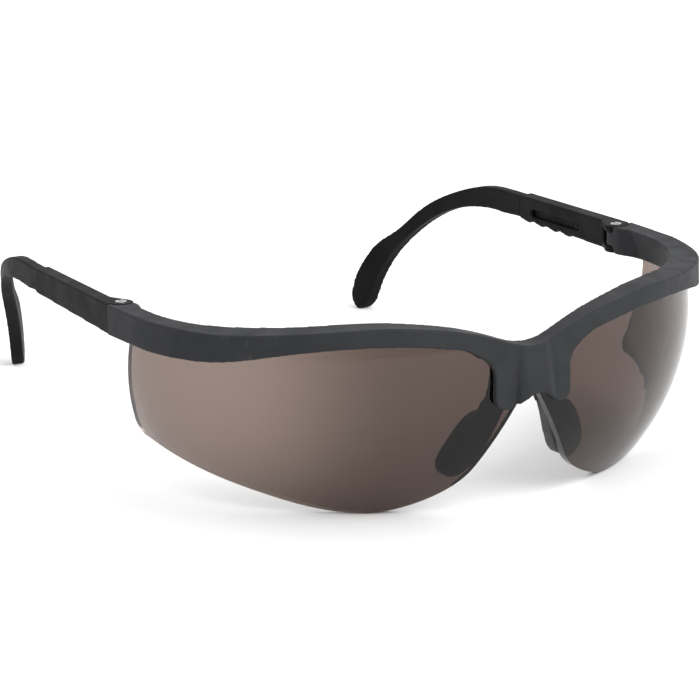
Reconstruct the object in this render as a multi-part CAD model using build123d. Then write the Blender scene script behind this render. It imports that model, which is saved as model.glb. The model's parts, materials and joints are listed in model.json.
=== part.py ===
from build123d import *
import os

# Half-frame safety glasses: one wraparound lens under a brow frame, with folding, telescoping temples.
# Everything is modelled level, as worn: X runs across the face, Y back towards the ears, Z up,
# with both hinge screws on Y = 0. The last step tips it onto the table, on the lens and the ear tips.
# "left" and "right" are the wearer's. The wearer looks along -Y, so left is +X.

# ---- driving dimensions, in millimetres and degrees ----
lens_half_width = 69.4      # half axes of the egg-shaped surface that the lens front follows
lens_half_depth = 55.5
lens_centre_y = -12.0
lens_centre_z = -10.0
lens_thickness = 2.2
seam_turn = 40.0            # keeps the surface's own seam and poles away from every cut
lens_bottom = -43.2
lens_top_cover = 1.6        # how much frame stands above the lens in its groove
play = 0.05                 # play of the lens in its groove and of each running fit
seam = 0.25                 # open seam between two parts that move apart

frame_front_y = -69.1       # upright outer face of the brow: at the nose
frame_corner = (65.3, -35.6)        # at the corners
frame_side = 70.0           # and at the hinges
frame_rear = -3.3           # inner face of the brow, behind the lens surface
brow_dip = -4.9             # top of the brow over the nose
frame_end_y = -0.6          # rear face of the end pieces
frame_bottom = -6.6         # underside of the end pieces
top_level = 0.3             # top of the end pieces, the hinge ears and the sleeves

bridge_width = 9.8          # the raised bridge between the lobes
bridge_depth = 20.0
bridge_round = 3.0          # its upright corners
bridge_lean = 9.0           # how far it leans forward towards its foot
bridge_front_y = -70.5      # front of the bridge at half height
bridge_middle_z = -10.0

hinge_x = 66.0
knuckle_radius = 2.2
knuckle_top = -1.2
knuckle_bottom = -4.8
ear_radius = 2.8
ear_bottom = -6.2
boss_inner = -2.3           # inner face of the end piece at its ear, measured across from the screw
boss_reach = 13.0           # how far forward of the screw the end piece starts to thicken
screw_radius = 0.8
screw_head_radius = 1.3
screw_head_height = 0.55
screw_head_rise = 0.15
nut_radius = 1.5
nut_height = 1.0

temple_toe_in = 2.8         # how far the sleeves turn towards the head
sleeve_outer = 3.6          # faces of the sleeve, measured across from the hinge screw
sleeve_inner = -0.1
sleeve_wall = 0.8
middle_x = (sleeve_outer + sleeve_inner) / 2
sleeve_front = 4.9          # inner end of the sleeve, behind the knuckle
sleeve_end = 40.3
sleeve_floor_front = -6.7
sleeve_floor_end = -5.4
slot_front = 15.4
slot_rear = 35.4
slot_middle_z = -3.4
slot_height = 1.9
detent_pitch = 5.6          # click positions of the telescoping arm, felt and seen under the sleeve
detent_start = 18.9
detent_width = 1.5
detents = 4
detent_depth = 0.45

tongue_thickness = 1.5
tongue_height = 3.2
tongue_front = 9.0
arm_thickness = 2.8

carrier_rear = -4.4         # back of the nose carrier, behind the lens surface
carrier_top = -7.4
post_radius = 0.9
post_x = 6.6
post_z = -16.4
post_tip_y = -67.7
post_root_y = -60.0
blade_front = -3.3
blade_rear = -4.5
pad_front = -2.6
pad_rear = -5.8
pad_top = -19.8

table_pitch = 2.84          # how far the temples slope when the glasses stand on the table
big = 200.0


def egg(offset, reach=20.0):
    """The lens surface, grown by offset, and carried straight back behind its widest section."""
    ball = Rot(X=seam_turn) * Rot(Z=90) * Solid.make_sphere(10)
    across = (lens_half_width + offset) / 10
    deep = (lens_half_depth + offset) / 10
    ball = scale(ball, by=(across, deep, deep))
    front = ball & Pos(0, -big / 2, 0) * Box(big, big, big)
    section = Plane.XZ * Ellipse(lens_half_width + offset, lens_half_depth + offset)
    tube = extrude(section, amount=-reach)
    return Pos(0, lens_centre_y, lens_centre_z) * (front + tube)


def shell(front, rear):
    """The layer between two offsets of the lens surface."""
    return egg(front) - egg(rear, reach=30.0)


def prism(plane, lines):
    """A long prism across the plane, with the closed outline that the lines make."""
    edges = [plane * edge for line in lines for edge in line.edges()]
    return extrude(make_face(Wire(edges)), amount=big / 2, both=True)


def front_prism(lines):
    """A prism along Y from half an outline in X and Z, and its mirror image."""
    half = prism(Plane.XZ, lines)
    return half + mirror(half, Plane.YZ)


def brow_top(drop):
    """The brow line: low over the nose, highest over the eyes, level at the temples."""
    points = [(0, brow_dip), (8, -2.9), (16, -0.3), (24, 1.2), (34, 2.1), (46, 1.5), (57, 0.7),
              (66, top_level)]
    return Spline([(x, z - drop) for x, z in points], tangents=[(1, 0), (1, 0)])


def block(x0, x1, y0, y1, z0, z1):
    """A box between two corners."""
    return Pos((x0 + x1) / 2, (y0 + y1) / 2, (z0 + z1) / 2) * Box(x1 - x0, y1 - y0, z1 - z0)


def post(x, y, radius, z0, z1):
    """An upright cylinder between two heights."""
    return Pos(x, y, (z0 + z1) / 2) * Cylinder(radius, z1 - z0)


def brow_block():
    """Everything inside the brow's upright outer face."""
    face = Spline((0, frame_front_y), (20, -66.9), (40, -59.7), (54, -49.6), frame_corner, (69.3, -22),
                  (frame_side, -10), tangents=[(1, 0), (0, 1)])
    rest = Polyline((frame_side, -10), (frame_side, frame_end_y), (0, frame_end_y), (0, frame_front_y))
    half = prism(Plane.XY, [face, rest])
    return half + mirror(half, Plane.YZ)


def boss():
    """The left end piece's extra thickness, from the inner face of the brow to the ear."""
    inner = hinge_x + boss_inner
    outline = Polyline((hinge_x + 1, -boss_reach), (inner + 0.5, -6), (inner, -4), (inner, frame_end_y),
                       (hinge_x + 1, frame_end_y), (hinge_x + 1, -boss_reach))
    return extrude(Pos(0, 0, ear_bottom) * make_face(outline), amount=top_level - ear_bottom)


def pin(x, radius, tip_y):
    """A round pin along Y at the height of the carrier's posts, from their roots to the tip."""
    return Pos(x, (post_root_y + tip_y) / 2, post_z) * Rot(X=90) * Cylinder(radius, post_root_y - tip_y)


def lens_outline(grow):
    """Half of the lens seen from the front: nose notch, cheek curve, then open to the side."""
    top = brow_top(lens_top_cover - grow)
    notch = ThreePointArc((0, -14.8 - grow), (1.5, -15.4 - grow), (2.5, -16.9 - grow))
    flank = Line((2.5, -16.9 - grow), (11.5, -32.4))
    cheek = Spline((11.5, -32.4), (17.0, -38.0), (24.4, -41.6), (34, lens_bottom),
                   tangents=[(0.5, -0.866), (1, 0)])
    side = Polyline((34, lens_bottom), (80, lens_bottom), (80, top_level - lens_top_cover + grow))
    close_top = Line((80, top_level - lens_top_cover + grow), (66, top_level - lens_top_cover + grow))
    middle = Line((0, brow_dip - lens_top_cover + grow), (0, -14.8 - grow))
    return [notch, flank, cheek, side, close_top, top, middle]


def side_outline(grow):
    """The lens seen from the side: the sweep up from the cheek and the upright rear edge."""
    sweep = Spline((-49, lens_bottom), (-38.5, -38.9), (-28.5, -34.6), (-18.5, -31.2), (-9.5, -29.0),
                   tangents=[(1, 0.12), (1, 0.2)])
    corner = ThreePointArc((-9.5, -29.0), (-6.9, -27.7), (-6.4, -25.0))
    rear = Line((-6.4, -25.0), (-10.4 + grow, -4.0))
    rest = Polyline((-10.4 + grow, -4.0), (-10.4 + grow, 20), (-90, 20), (-90, lens_bottom),
                    (-49, lens_bottom))
    return prism(Plane.YZ, [sweep, corner, rear, rest])


def make_lens():
    body = shell(0, -lens_thickness) & front_prism(lens_outline(0)) & side_outline(0)
    for x in (-post_x, post_x):
        body = body - pin(x, post_radius + play, -80)
    return body


def frame_outline():
    """Half of the brow frame seen from the front, with the lobe beside the nose."""
    arch = Spline((0, -15.4), (3.6, -16.8), (6.6, -18.8), tangents=[(1, 0), (1, -0.35)])
    lobe = Spline((6.6, -18.8), (8.7, -18.2), (9.6, -15.8), tangents=[(1, -0.35), (0, 1)])
    cheek = Line((9.6, -15.8), (9.6, -11.5))
    corner = Spline((9.6, -11.5), (11.2, -7.6), (15.6, -4.8), (24, -3.0), tangents=[(0, 1), (1, 0.16)])
    under = Spline((24, -3.0), (34, -2.1), (44, -2.4), (54, -3.9), (63, -5.9), (72, frame_bottom))
    end = Polyline((72, frame_bottom), (80, frame_bottom), (80, top_level), (66, top_level))
    middle = Line((0, brow_dip), (0, -15.4))
    return [arch, lobe, cheek, corner, under, end, brow_top(0), middle]


def make_frame():
    outline = front_prism(frame_outline())
    lean = Pos(0, bridge_front_y + bridge_depth / 2, bridge_middle_z) * Rot(X=-bridge_lean)
    bulge = lean * extrude(RectangleRounded(bridge_width, bridge_depth, bridge_round), amount=30, both=True)
    layer = brow_block() + bulge - egg(frame_rear, reach=30.0)
    body = (layer & outline & block(-80, 80, -90, frame_end_y, -60, 20)) + boss() + mirror(boss(), Plane.YZ)
    groove = shell(play, -lens_thickness - play) & front_prism(lens_outline(play)) & side_outline(play)
    behind = egg(-lens_thickness - play) & block(-14, 14, -90, -40, -60, carrier_top + play)
    body = body - groove - behind
    for side in (-1, 1):
        x = side * hinge_x
        knuckle = post(x, 0, knuckle_radius, knuckle_bottom, knuckle_top)
        neck_x = (x - knuckle_radius, x + knuckle_radius)
        neck = block(neck_x[0], neck_x[1], frame_end_y - 2, 0, knuckle_bottom, knuckle_top)
        body = body - post(x, 0, ear_radius + seam, knuckle_top, 10)
        body = body - post(x, 0, ear_radius + seam, -20, knuckle_bottom)
        body = body + knuckle + neck - post(x, 0, screw_radius + play, -20, 10)
        body = body - pin(side * post_x, post_radius + play, post_tip_y - seam)
    return body


def make_carrier():
    """The nose carrier: a saddle behind the lens, two posts into the lobes and a blade for each pad."""
    saddle = [ThreePointArc((0, -15.6), (2.0, -16.2), (3.4, -18.0)),
              Polyline((3.4, -18.0), (4.3, pad_top), (10.4, pad_top), (8.6, -15.5), (7.6, carrier_top)),
              Line((7.6, carrier_top), (0, carrier_top)), Line((0, carrier_top), (0, -15.6))]
    body = shell(-lens_thickness - play, carrier_rear) & front_prism(saddle)
    blade = [Polyline((5.4, -17.5), (9.8, -17.5), (15.2, -30.4), (12.0, -31.8), (5.4, -17.5))]
    half = prism(Plane.XZ, blade)
    blades = shell(blade_front, blade_rear) & (half + mirror(half, Plane.YZ))
    body = body + blades
    for x in (-post_x, post_x):
        body = body + pin(x, post_radius, post_tip_y)
    return body


def make_pad():
    """The left nose pad: a soft rounded plate that slips over its blade."""
    outline = [Line((5.2, pad_top), (10.6, pad_top)),
               Spline((10.6, pad_top), (13.2, -21.4), (16.8, -27.6), (17.7, -31.6), (15.6, -34.8),
                      (12.8, -34.2), (9.2, -29.4), (5.2, pad_top), tangents=[(1, -0.15), (-0.4, 1)])]
    return (shell(pad_front, pad_rear) & prism(Plane.XZ, outline)) - make_carrier()


def above_floor():
    """Everything above the sleeve's sloping underside."""
    outline = Polyline((-9, sleeve_floor(-9)), (60, sleeve_floor(60)), (60, 40), (-9, 40),
                       (-9, sleeve_floor(-9)))
    return prism(Plane.YZ, [outline])


def make_sleeve():
    """The left temple sleeve. Its origin is the hinge screw, and Y runs along it."""
    body = block(sleeve_inner, sleeve_outer, frame_end_y + seam, sleeve_end, -10, top_level)
    body = body & above_floor()
    for low, high in ((knuckle_top, top_level), (ear_bottom, knuckle_bottom)):
        web = Polyline((-2.5, 1.2), (sleeve_inner, sleeve_front + 0.8), (sleeve_outer, sleeve_front + 0.8),
                       (sleeve_outer, 0), (-2.5, 1.2))
        ear = post(0, 0, ear_radius, low, high) + extrude(Pos(0, 0, low) * make_face(web), amount=high - low)
        body = body + ear
    low, high = knuckle_bottom - play, knuckle_top + play
    body = body - block(-9, sleeve_outer - sleeve_wall, -9, sleeve_front, low, high)
    body = body - post(0, 0, knuckle_radius + seam, low, high)
    body = body - post(0, 0, screw_radius + play, -20, 20)
    body = body - post(0, 0, screw_head_radius + play, top_level + screw_head_rise - screw_head_height, 20)
    body = body - post(0, 0, nut_radius, ear_bottom, ear_bottom + nut_height)
    channel = tongue(play, 30.0)
    slot = block(-3, middle_x, slot_front + slot_height / 2, slot_rear - slot_height / 2,
                 slot_middle_z - slot_height / 2, slot_middle_z + slot_height / 2)
    for y in (slot_front + slot_height / 2, slot_rear - slot_height / 2):
        end = Rot(Y=90) * Cylinder(slot_height / 2, middle_x + 2)
        slot = slot + Pos(middle_x / 2 - 1, y, slot_middle_z) * end
    body = body - channel - slot
    for step in range(detents):
        y = detent_start + step * detent_pitch
        low = sleeve_floor(y) - detent_depth
        tooth = Polyline((y, -5), (y, low + detent_depth), (y + 0.6, low), (y + 1.4, low),
                         (y + 4.4, sleeve_floor(y + 4.4) + 0.01), (y + 4.4, -5), (y, -5))
        body = body + Pos(sleeve_inner, 0, 0) * extrude(make_face(Plane.YZ * tooth), amount=detent_width)
    return body


def sleeve_floor(y):
    """Height of the sleeve's underside, so far along it."""
    return sleeve_floor_front + (sleeve_floor_end - sleeve_floor_front) * y / sleeve_end


def tongue(grow, tail):
    """The arm's flat tongue, or the channel it runs in."""
    half = tongue_thickness / 2 + grow
    tall = tongue_height / 2 + grow
    front = tongue_front - grow * 10
    low, high = slot_middle_z - tall, slot_middle_z + tall
    return block(middle_x - half, middle_x + half, front, sleeve_end + tail, low, high)


def ribbon(line, thickness, samples):
    """A curved strip seen from above: the line, thickened evenly to both sides."""
    sides = []
    for sign in (1, -1):
        points = []
        for i in range(samples):
            at, along = line @ (i / (samples - 1)), line % (i / (samples - 1))
            points.append((at.X - sign * along.Y * thickness / 2, at.Y + sign * along.X * thickness / 2))
        sides.append(Spline(points))
    ends = [Line(sides[0] @ t, sides[1] @ t) for t in (0, 1)]
    return sides + ends


def make_arm():
    """The left temple arm: tongue, level bar, and a hook that curves down and in behind the ear."""
    start = sleeve_end + seam
    bow = Spline((middle_x, start), (1.4, 50), (-1.6, 69), (-6.0, 80), (-10.2, 87.2), (-12.8, 91.8),
                 (-15.6, 97))
    strip = prism(Plane.XY, ribbon(bow, arm_thickness, 12))
    upper = Spline((start, 0.0), (54, -0.1), (66, -3.3), (76.5, -9.2), (83.2, -15.6), (87.2, -18.8),
                   (90.7, -23.8), (93.4, -30.5), tangents=[(1, 0), (0.25, -1)])
    tip = Spline((93.4, -30.5), (93.7, -33.6), (92.0, -36.18), (90.0, -34.4), (88.6, -30.5),
                 tangents=[(0.25, -1), (-0.35, 1)])
    lower = Spline((88.6, -30.5), (85.6, -23.8), (78, -14.6), (66.4, -7.6), (54, -5.4), (start, -5.3),
                   tangents=[(-0.35, 1), (-1, 0.05)])
    shoulder = Line((start, -5.3), (start, 0.0))
    blade = strip & prism(Plane.YZ, [upper, tip, lower, shoulder])
    stub = tongue(0, 2.0)
    nub_y = slot_front + slot_height / 2 + 0.1
    nub = Rot(Y=90) * Cylinder(slot_height / 2 - play, middle_x - 0.3)
    nub = Pos(middle_x / 2, nub_y, slot_middle_z) * nub
    return blade + stub + nub


def make_screw():
    """Hinge screw: cross-slotted pan head on a plain shank."""
    top = top_level + screw_head_rise
    head = post(0, 0, screw_head_radius, top - screw_head_height, top)
    shank = post(0, 0, screw_radius, ear_bottom + 0.4, top - screw_head_height)
    groove = block(-2, 2, -0.18, 0.18, top - 0.3, top + 1) + block(-0.18, 0.18, -2, 2, top - 0.3, top + 1)
    return head + shank - groove


def make_nut():
    """Brass insert in the lower ear that the screw threads into."""
    return post(0, 0, nut_radius, ear_bottom, ear_bottom + nut_height) - post(0, 0, screw_radius, -20, 20)


def make_parts():
    """Every part, level, in its place."""
    parts = {"brow_frame": make_frame(), "lens": make_lens(), "nose_carrier": make_carrier()}
    hinge = Pos(hinge_x, 0, 0) * Rot(Z=temple_toe_in)
    left = {"nose_pad": make_pad(), "temple_sleeve": hinge * make_sleeve(), "temple_arm": hinge * make_arm(),
            "hinge_screw": hinge * make_screw(), "hinge_nut": hinge * make_nut()}
    for name, part in left.items():
        parts[name + "_left"] = part
        parts[name + "_right"] = mirror(part, Plane.YZ)
    return parts


def main():
    os.makedirs("parts", exist_ok=True)
    tipped = {name: Rot(X=-table_pitch) * part for name, part in make_parts().items()}
    boxes = [part.bounding_box() for part in tipped.values()]
    front, back = min(b.min.Y for b in boxes), max(b.max.Y for b in boxes)
    lift = -min(b.min.Z for b in boxes)
    stand = Pos(0, -(front + back) / 2, lift)
    for name, part in tipped.items():
        export_step(stand * part, f"parts/{name}.step")
    hinge = (stand * Rot(X=-table_pitch) * Pos(hinge_x, 0, 0)).position
    print("left hinge at", hinge, "length", back - front)
    print("lens above the table by", tipped["lens"].bounding_box().min.Z + lift)
    print("arm above the table by", tipped["temple_arm_left"].bounding_box().min.Z + lift)


main()
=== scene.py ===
import json
import math

import bmesh
import bpy
import numpy as np
from mathutils import Matrix, Vector

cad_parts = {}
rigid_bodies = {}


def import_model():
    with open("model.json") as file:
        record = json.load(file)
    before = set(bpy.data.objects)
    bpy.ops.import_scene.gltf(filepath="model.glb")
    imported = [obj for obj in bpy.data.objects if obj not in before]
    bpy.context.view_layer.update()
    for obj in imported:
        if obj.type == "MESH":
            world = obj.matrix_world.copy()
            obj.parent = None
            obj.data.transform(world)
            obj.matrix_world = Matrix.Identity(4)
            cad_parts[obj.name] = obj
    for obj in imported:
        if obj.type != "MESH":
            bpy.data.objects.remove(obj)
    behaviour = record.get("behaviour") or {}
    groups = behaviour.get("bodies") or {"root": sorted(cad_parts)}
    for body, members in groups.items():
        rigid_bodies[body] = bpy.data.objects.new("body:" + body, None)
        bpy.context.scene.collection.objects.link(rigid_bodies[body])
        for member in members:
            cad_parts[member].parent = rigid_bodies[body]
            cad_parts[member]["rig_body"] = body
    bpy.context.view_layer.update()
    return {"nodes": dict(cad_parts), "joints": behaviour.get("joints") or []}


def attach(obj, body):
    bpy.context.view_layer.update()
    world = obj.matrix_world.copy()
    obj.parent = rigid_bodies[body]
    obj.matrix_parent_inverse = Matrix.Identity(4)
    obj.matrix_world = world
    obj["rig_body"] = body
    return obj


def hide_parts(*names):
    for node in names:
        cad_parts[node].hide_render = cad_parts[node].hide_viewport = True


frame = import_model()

# Safety glasses: the moulded nylon pieces are rounded copies of their CAD nodes, the nose pads are
# soft copies, and the lens, screws, nuts and carrier stay the CAD nodes with better materials.
# Metres, in the CAD frame: X across, Y back along the temples, Z up off the table.

mm = 0.001
nodes = frame["nodes"]
sides = ("left", "right")

# ---- the rounded copies: size of their grid, and how often each kind is smoothed ----
voxel = 0.28 * mm
pad_voxel = 0.3 * mm
weld_distance = 0.002 * mm
frame_rounds = 60
bridge_rounds = 60              # more for the bridge, fading out between these distances from the middle
bridge_full = 11 * mm
bridge_none = 16 * mm
sleeve_rounds = 26
arm_rounds = 90
pad_rounds = 8
step_in, step_out = 0.5, -0.52  # one round of smoothing: a step inward, then one outward

# ---- the lens: half widths in metres between which its tint turns paler, partly where it thins and partly painted light ----
tint_starts = 0.026
tint_ends = 0.070

# ---- stage ----
floor_half_size = 6.0
floor_drop = 0.05 * mm
world_strength = 0.9

# ---- camera, from the hinge line's middle ----
camera_azimuth = math.radians(-29.895)
camera_elevation = math.radians(16.917)
camera_roll = math.radians(0.031)
camera_distance = 1111.4 * mm
camera_right = -5.9 * mm
camera_up = -20.1 * mm
camera_focal = 247.7            # millimetres
sensor_width = 36.0


def hinge_middle():
    """The point halfway between the two hinge screws."""
    places = [Vector(j["pos_m"]) for j in frame["joints"] if j["type"] == "hinge"]
    return (places[0] + places[1]) / 2


def add_camera():
    a, e, roll = camera_azimuth, camera_elevation, camera_roll
    back = Vector((math.sin(a) * math.cos(e), -math.cos(a) * math.cos(e), math.sin(e)))
    level = Vector((math.cos(a), math.sin(a), 0))
    rise = back.cross(level)
    right = level * math.cos(roll) + rise * math.sin(roll)
    up = rise * math.cos(roll) - level * math.sin(roll)
    place = hinge_middle() + back * camera_distance + right * camera_right + up * camera_up
    data = bpy.data.cameras.new("camera")
    data.lens = camera_focal
    data.sensor_width = sensor_width
    data.clip_start = 0.01
    data.clip_end = 20.0
    camera = bpy.data.objects.new("camera", data)
    camera.matrix_world = Matrix.Translation(place) @ Matrix((right, up, back)).transposed().to_4x4()
    bpy.context.scene.collection.objects.link(camera)
    bpy.context.scene.camera = camera


# ---- materials ----
class Graph:
    """A small helper over a material's node tree."""

    def __init__(self, name):
        self.material = bpy.data.materials.new(name)
        self.material.use_nodes = True
        self.nodes = self.material.node_tree.nodes
        self.links = self.material.node_tree.links
        self.shader = self.nodes["Principled BSDF"]

    def node(self, kind, **values):
        made = self.nodes.new(kind)
        for key, value in values.items():
            setattr(made, key, value)
        return made

    def feed(self, source, target, output=0):
        self.links.new(source.outputs[output], target)

    def noise(self, scale, detail=3.0, roughness=0.5):
        made = self.node("ShaderNodeTexNoise")
        made.inputs["Scale"].default_value = scale
        made.inputs["Detail"].default_value = detail
        made.inputs["Roughness"].default_value = roughness
        self.feed(self.place(), made.inputs["Vector"], "Object")
        return made

    def place(self):
        if "place" not in self.nodes:
            made = self.node("ShaderNodeTexCoord")
            made.name = "place"
        return self.nodes["place"]

    def remap(self, source, low, high, to_low, to_high, output=0):
        made = self.node("ShaderNodeMapRange")
        ends = {"From Min": low, "From Max": high, "To Min": to_low, "To Max": to_high}
        for key, value in ends.items():
            made.inputs[key].default_value = value
        self.feed(source, made.inputs["Value"], output)
        return made

    def mix(self, factor, first, second):
        """A colour mix; first is a colour or a node, second is a colour."""
        made = self.node("ShaderNodeMix", data_type="RGBA")
        self.feed(factor, made.inputs["Factor"])
        if isinstance(first, tuple):
            made.inputs["A"].default_value = (*first, 1)
        else:
            self.links.new(colour_out(first), made.inputs["A"])
        made.inputs["B"].default_value = (*second, 1)
        return made

    def bump(self, parts, distance):
        """Bumps stacked on each other: pairs of a node and its strength."""
        last = None
        for source, strength in parts:
            made = self.node("ShaderNodeBump")
            made.inputs["Strength"].default_value = strength
            made.inputs["Distance"].default_value = distance
            self.feed(source, made.inputs["Height"])
            if last:
                self.feed(last, made.inputs["Normal"])
            last = made
        self.feed(last, self.shader.inputs["Normal"])


def colour_out(node):
    """The colour output of a mix node, or a node's first output."""
    return node.outputs[2] if node.bl_idname == "ShaderNodeMix" else node.outputs[0]


def moulded_nylon(name, dark, light, wear):
    """Spark-textured black nylon: fine grain, faint mottling and rubbed edges."""
    g = Graph(name)
    mottle = g.noise(90, 4, 0.6)
    mottled = g.mix(g.remap(mottle, 0.35, 0.7, 0, 1), dark, light)
    worn = g.node("ShaderNodeNewGeometry")
    edge = g.remap(worn, 0.54, 0.62, 0, 0.3, output="Pointiness")
    rubbed = g.mix(edge, mottled, wear)
    g.links.new(colour_out(rubbed), g.shader.inputs["Base Color"])
    g.feed(g.remap(g.noise(160, 3, 0.5), 0.3, 0.7, 0.42, 0.56), g.shader.inputs["Roughness"])
    g.shader.inputs["Specular IOR Level"].default_value = 0.05
    grain = g.noise(3200, 2, 0.6)
    waves = g.noise(420, 2, 0.5)
    g.bump([(grain, 0.10), (waves, 0.12)], 0.00012)
    return g.material


def pad_rubber():
    """Soft matte black rubber with a dusty bloom."""
    g = Graph("pad_rubber")
    bloom = g.remap(g.noise(240, 4, 0.6), 0.4, 0.75, 0, 1)
    coloured = g.mix(bloom, (0.046, 0.047, 0.050), (0.064, 0.065, 0.069))
    g.links.new(colour_out(coloured), g.shader.inputs["Base Color"])
    g.feed(g.remap(g.noise(500, 3, 0.5), 0.3, 0.7, 0.5, 0.68), g.shader.inputs["Roughness"])
    g.shader.inputs["Specular IOR Level"].default_value = 0.2
    g.bump([(g.noise(2600, 2, 0.6), 0.18)], 0.0001)
    return g.material


def smoke_lens():
    """Grey-brown polycarbonate, polished and see-through: tinted through its depth, and paler towards
    its sides, partly where it thins and partly as painted light for the bright reflection on its near
    side."""
    g = Graph("smoke_lens")
    shade = g.remap(g.noise(16, 2, 0.5), 0.3, 0.7, 0, 1)
    middle = g.mix(shade, (0.185, 0.132, 0.115), (0.203, 0.146, 0.126))
    apart = g.node("ShaderNodeSeparateXYZ")
    g.feed(g.place(), apart.inputs["Vector"], "Object")
    across = g.node("ShaderNodeMath", operation="ABSOLUTE")
    g.feed(apart, across.inputs[0], "X")
    # paler towards the sides: partly the lens thinning, partly painted light standing in for the bright
    # reflection on its near side
    paler_sides_painted_light = g.remap(across, tint_starts, tint_ends, 0, 1)
    paler_sides_painted_light.interpolation_type = "SMOOTHERSTEP"
    tint = g.mix(paler_sides_painted_light, middle, (0.520, 0.420, 0.368))
    g.links.new(colour_out(tint), g.shader.inputs["Base Color"])
    g.shader.inputs["Transmission Weight"].default_value = 1.0
    g.shader.inputs["IOR"].default_value = 1.36
    g.shader.inputs["Roughness"].default_value = 0.0
    depth = g.node("ShaderNodeVolumeAbsorption")
    depth.inputs["Color"].default_value = (0.46, 0.41, 0.39, 1)
    depth.inputs["Density"].default_value = 600.0
    g.feed(depth, g.nodes["Material Output"].inputs["Volume"])
    return g.material


def plated_steel():
    """Bright plated screw steel with turned and tooled marks."""
    g = Graph("plated_steel")
    tone = g.remap(g.noise(900, 3, 0.6), 0.3, 0.7, 0, 1)
    coloured = g.mix(tone, (0.62, 0.62, 0.61), (0.80, 0.80, 0.79))
    g.links.new(colour_out(coloured), g.shader.inputs["Base Color"])
    g.shader.inputs["Metallic"].default_value = 1.0
    g.feed(g.remap(g.noise(1500, 3, 0.6), 0.3, 0.7, 0.14, 0.34), g.shader.inputs["Roughness"])
    g.bump([(g.noise(4000, 2, 0.5), 0.12)], 0.00008)
    return g.material


def brass():
    """Turned brass, a little tarnished."""
    g = Graph("brass")
    tarnish = g.remap(g.noise(700, 3, 0.6), 0.35, 0.75, 0, 1)
    coloured = g.mix(tarnish, (0.72, 0.50, 0.20), (0.42, 0.27, 0.11))
    g.links.new(colour_out(coloured), g.shader.inputs["Base Color"])
    g.shader.inputs["Metallic"].default_value = 1.0
    g.feed(g.remap(g.noise(1200, 3, 0.6), 0.3, 0.7, 0.2, 0.4), g.shader.inputs["Roughness"])
    return g.material


def dress(obj, material):
    """Gives the object that one material."""
    obj.data.materials.clear()
    obj.data.materials.append(material)


# ---- shapes ----
def along_body(side):
    """The turn from level to the side's sleeve: its screw is upright and its slide runs along Y."""
    screw, slide = (Vector(next(j["axis"] for j in frame["joints"] if j["name"] == f"{kind}_{side}"))
                    for kind in ("temple_fold", "arm_slide"))
    up = screw if screw.z > 0 else -screw
    return Matrix((slide.cross(up), slide, up)).transposed().to_4x4()


def remeshed(node, name, size, turn):
    """A copy of the CAD node's mesh, remade as an even grid of small quads that lies along the turn."""
    copy = bpy.data.objects.new(name, nodes[node].data.copy())
    bpy.context.scene.collection.objects.link(copy)
    weld = bmesh.new()
    weld.from_mesh(copy.data)
    bmesh.ops.remove_doubles(weld, verts=weld.verts, dist=weld_distance)
    weld.to_mesh(copy.data)
    weld.free()
    copy.data.transform(turn.inverted())
    remesh = copy.modifiers.new("remesh", "REMESH")
    remesh.mode = "VOXEL"
    remesh.voxel_size = size
    remesh.adaptivity = 0.0
    bpy.context.view_layer.update()
    made = bpy.data.meshes.new_from_object(copy.evaluated_get(bpy.context.evaluated_depsgraph_get()))
    made.transform(turn)
    copy.modifiers.clear()
    copy.data = made
    return copy


def smooth(obj, rounds, share=None):
    """Rounds the mesh's edges. Each inward step is followed by one outward, so walls keep their
    thickness. share, from 0 to 1 for each vertex, limits it to a part of the mesh."""
    mesh = obj.data
    count = len(mesh.vertices)
    co = points(obj)
    ends = np.empty(len(mesh.edges) * 2, dtype=np.int64)
    mesh.edges.foreach_get("vertices", ends)
    a, b = ends.reshape(-1, 2).T
    degree = np.bincount(a, minlength=count) + np.bincount(b, minlength=count)
    for step in range(rounds):
        for weight in (step_in, step_out):
            total = np.empty_like(co)
            for axis in range(3):
                total[:, axis] = np.bincount(a, co[b, axis], count) + np.bincount(b, co[a, axis], count)
            move = weight * (total / degree[:, None] - co)
            co = co + (move if share is None else move * share[:, None])
    mesh.vertices.foreach_set("co", co.ravel())
    mesh.update()
    mesh.polygons.foreach_set("use_smooth", [True] * len(mesh.polygons))


def points(obj):
    """The mesh's vertices, one row each."""
    co = np.empty(len(obj.data.vertices) * 3)
    obj.data.vertices.foreach_get("co", co)
    return co.reshape(-1, 3)


def ramp(values, none, full):
    """0 at none and beyond, 1 at full and beyond, with an even curve between."""
    t = np.clip((values - none) / (full - none), 0, 1)
    return t * t * (3 - 2 * t)


def stand_for(piece, node):
    """The piece takes the node's place and rides on its body."""
    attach(piece, nodes[node]["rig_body"])
    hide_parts(node)


def rounded(node, name, turn, rounds, material):
    """A moulded piece: the CAD node with its edges rounded."""
    piece = remeshed(node, name, voxel, turn)
    smooth(piece, rounds)
    dress(piece, material)
    stand_for(piece, node)
    return piece


def soft_pad(side, material):
    """A soft nose pad: the CAD pad with full, rounded edges."""
    piece = remeshed(f"nose_pad_{side}", f"soft_nose_pad_{side}", pad_voxel, level)
    smooth(piece, pad_rounds)
    dress(piece, material)
    stand_for(piece, f"nose_pad_{side}")
    return piece


# ---- stage ----
def add_floor():
    size = floor_half_size
    mesh = bpy.data.meshes.new("floor")
    corners = [(-size, -size), (size, -size), (size, size), (-size, size)]
    mesh.from_pydata([(x, y, -floor_drop) for x, y in corners], [], [(0, 1, 2, 3)])
    floor = bpy.data.objects.new("floor", mesh)
    bpy.context.scene.collection.objects.link(floor)
    g = Graph("pale_floor")
    g.shader.inputs["Base Color"].default_value = (0.93, 0.93, 0.93, 1)
    g.shader.inputs["Roughness"].default_value = 0.9
    g.shader.inputs["Specular IOR Level"].default_value = 0.1
    dress(floor, g.material)


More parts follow.
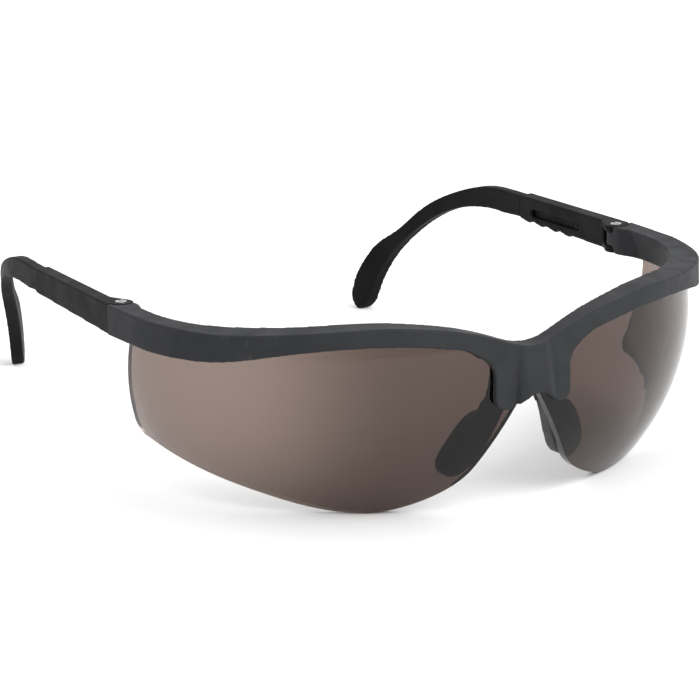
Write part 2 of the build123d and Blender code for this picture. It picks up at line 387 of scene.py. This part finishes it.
def add_light(name, place, size, power):
    data = bpy.data.lights.new(name, "AREA")
    data.size = size
    data.energy = power
    light = bpy.data.objects.new(name, data)
    light.location = place
    light.rotation_euler = (hinge_middle() - Vector(place)).to_track_quat("-Z", "Y").to_euler()
    bpy.context.scene.collection.objects.link(light)


def add_world(strength):
    world = bpy.data.worlds.new("studio")
    world.use_nodes = True
    world.node_tree.nodes["Background"].inputs["Color"].default_value = (1, 1, 1, 1)
    world.node_tree.nodes["Background"].inputs["Strength"].default_value = strength
    bpy.context.scene.world = world


frame_black = moulded_nylon("frame_nylon", dark=(0.028, 0.029, 0.031), light=(0.037, 0.038, 0.041),
                            wear=(0.060, 0.060, 0.063))
# The temples' nylon is a darker copy of the frame's nylon: painted shade for the sleeves that face away
# from the light.
shaded_temple_black = moulded_nylon("temple_nylon", dark=(0.007, 0.0072, 0.0078),
                             light=(0.012, 0.0123, 0.0132), wear=(0.030, 0.030, 0.031))
carrier_black = moulded_nylon("carrier_nylon", dark=(0.005, 0.005, 0.005), light=(0.009, 0.009, 0.010),
                              wear=(0.03, 0.03, 0.03))
rubber, lens_glass, steel, turned_brass = pad_rubber(), smoke_lens(), plated_steel(), brass()

# The glasses stand tipped on the table. Each remeshing grid is turned to lie along its own piece,
# so long edges follow the grid and come out straight.
turns = {side: along_body(side) for side in sides}
lean = math.atan2(-turns["left"][1][2], turns["left"][2][2])
level = Matrix.Rotation(lean, 4, "X")
bar = rounded("brow_frame", "moulded_brow_frame", level, frame_rounds, frame_black)
smooth(bar, bridge_rounds, share=ramp(np.abs(points(bar)[:, 0]), bridge_none, bridge_full))
for side in sides:
    turn = turns[side]
    rounded(f"temple_sleeve_{side}", f"moulded_sleeve_{side}", turn, sleeve_rounds, shaded_temple_black)
    rounded(f"temple_arm_{side}", f"moulded_arm_{side}", turn, arm_rounds, shaded_temple_black)
    soft_pad(side, rubber)
    dress(nodes[f"hinge_screw_{side}"], steel)
    dress(nodes[f"hinge_nut_{side}"], turned_brass)
dress(nodes["lens"], lens_glass)
dress(nodes["nose_carrier"], carrier_black)

add_camera()
add_floor()
add_world(world_strength)
add_light("key", (0.5, -1.3, 1.3), 1.2, 20)
add_light("fill", (1.1, -0.3, 0.8), 1.0, 6)
add_light("back", (-0.2, 1.2, 1.2), 1.4, 4)
bpy.context.scene.view_settings.view_transform = "Standard"
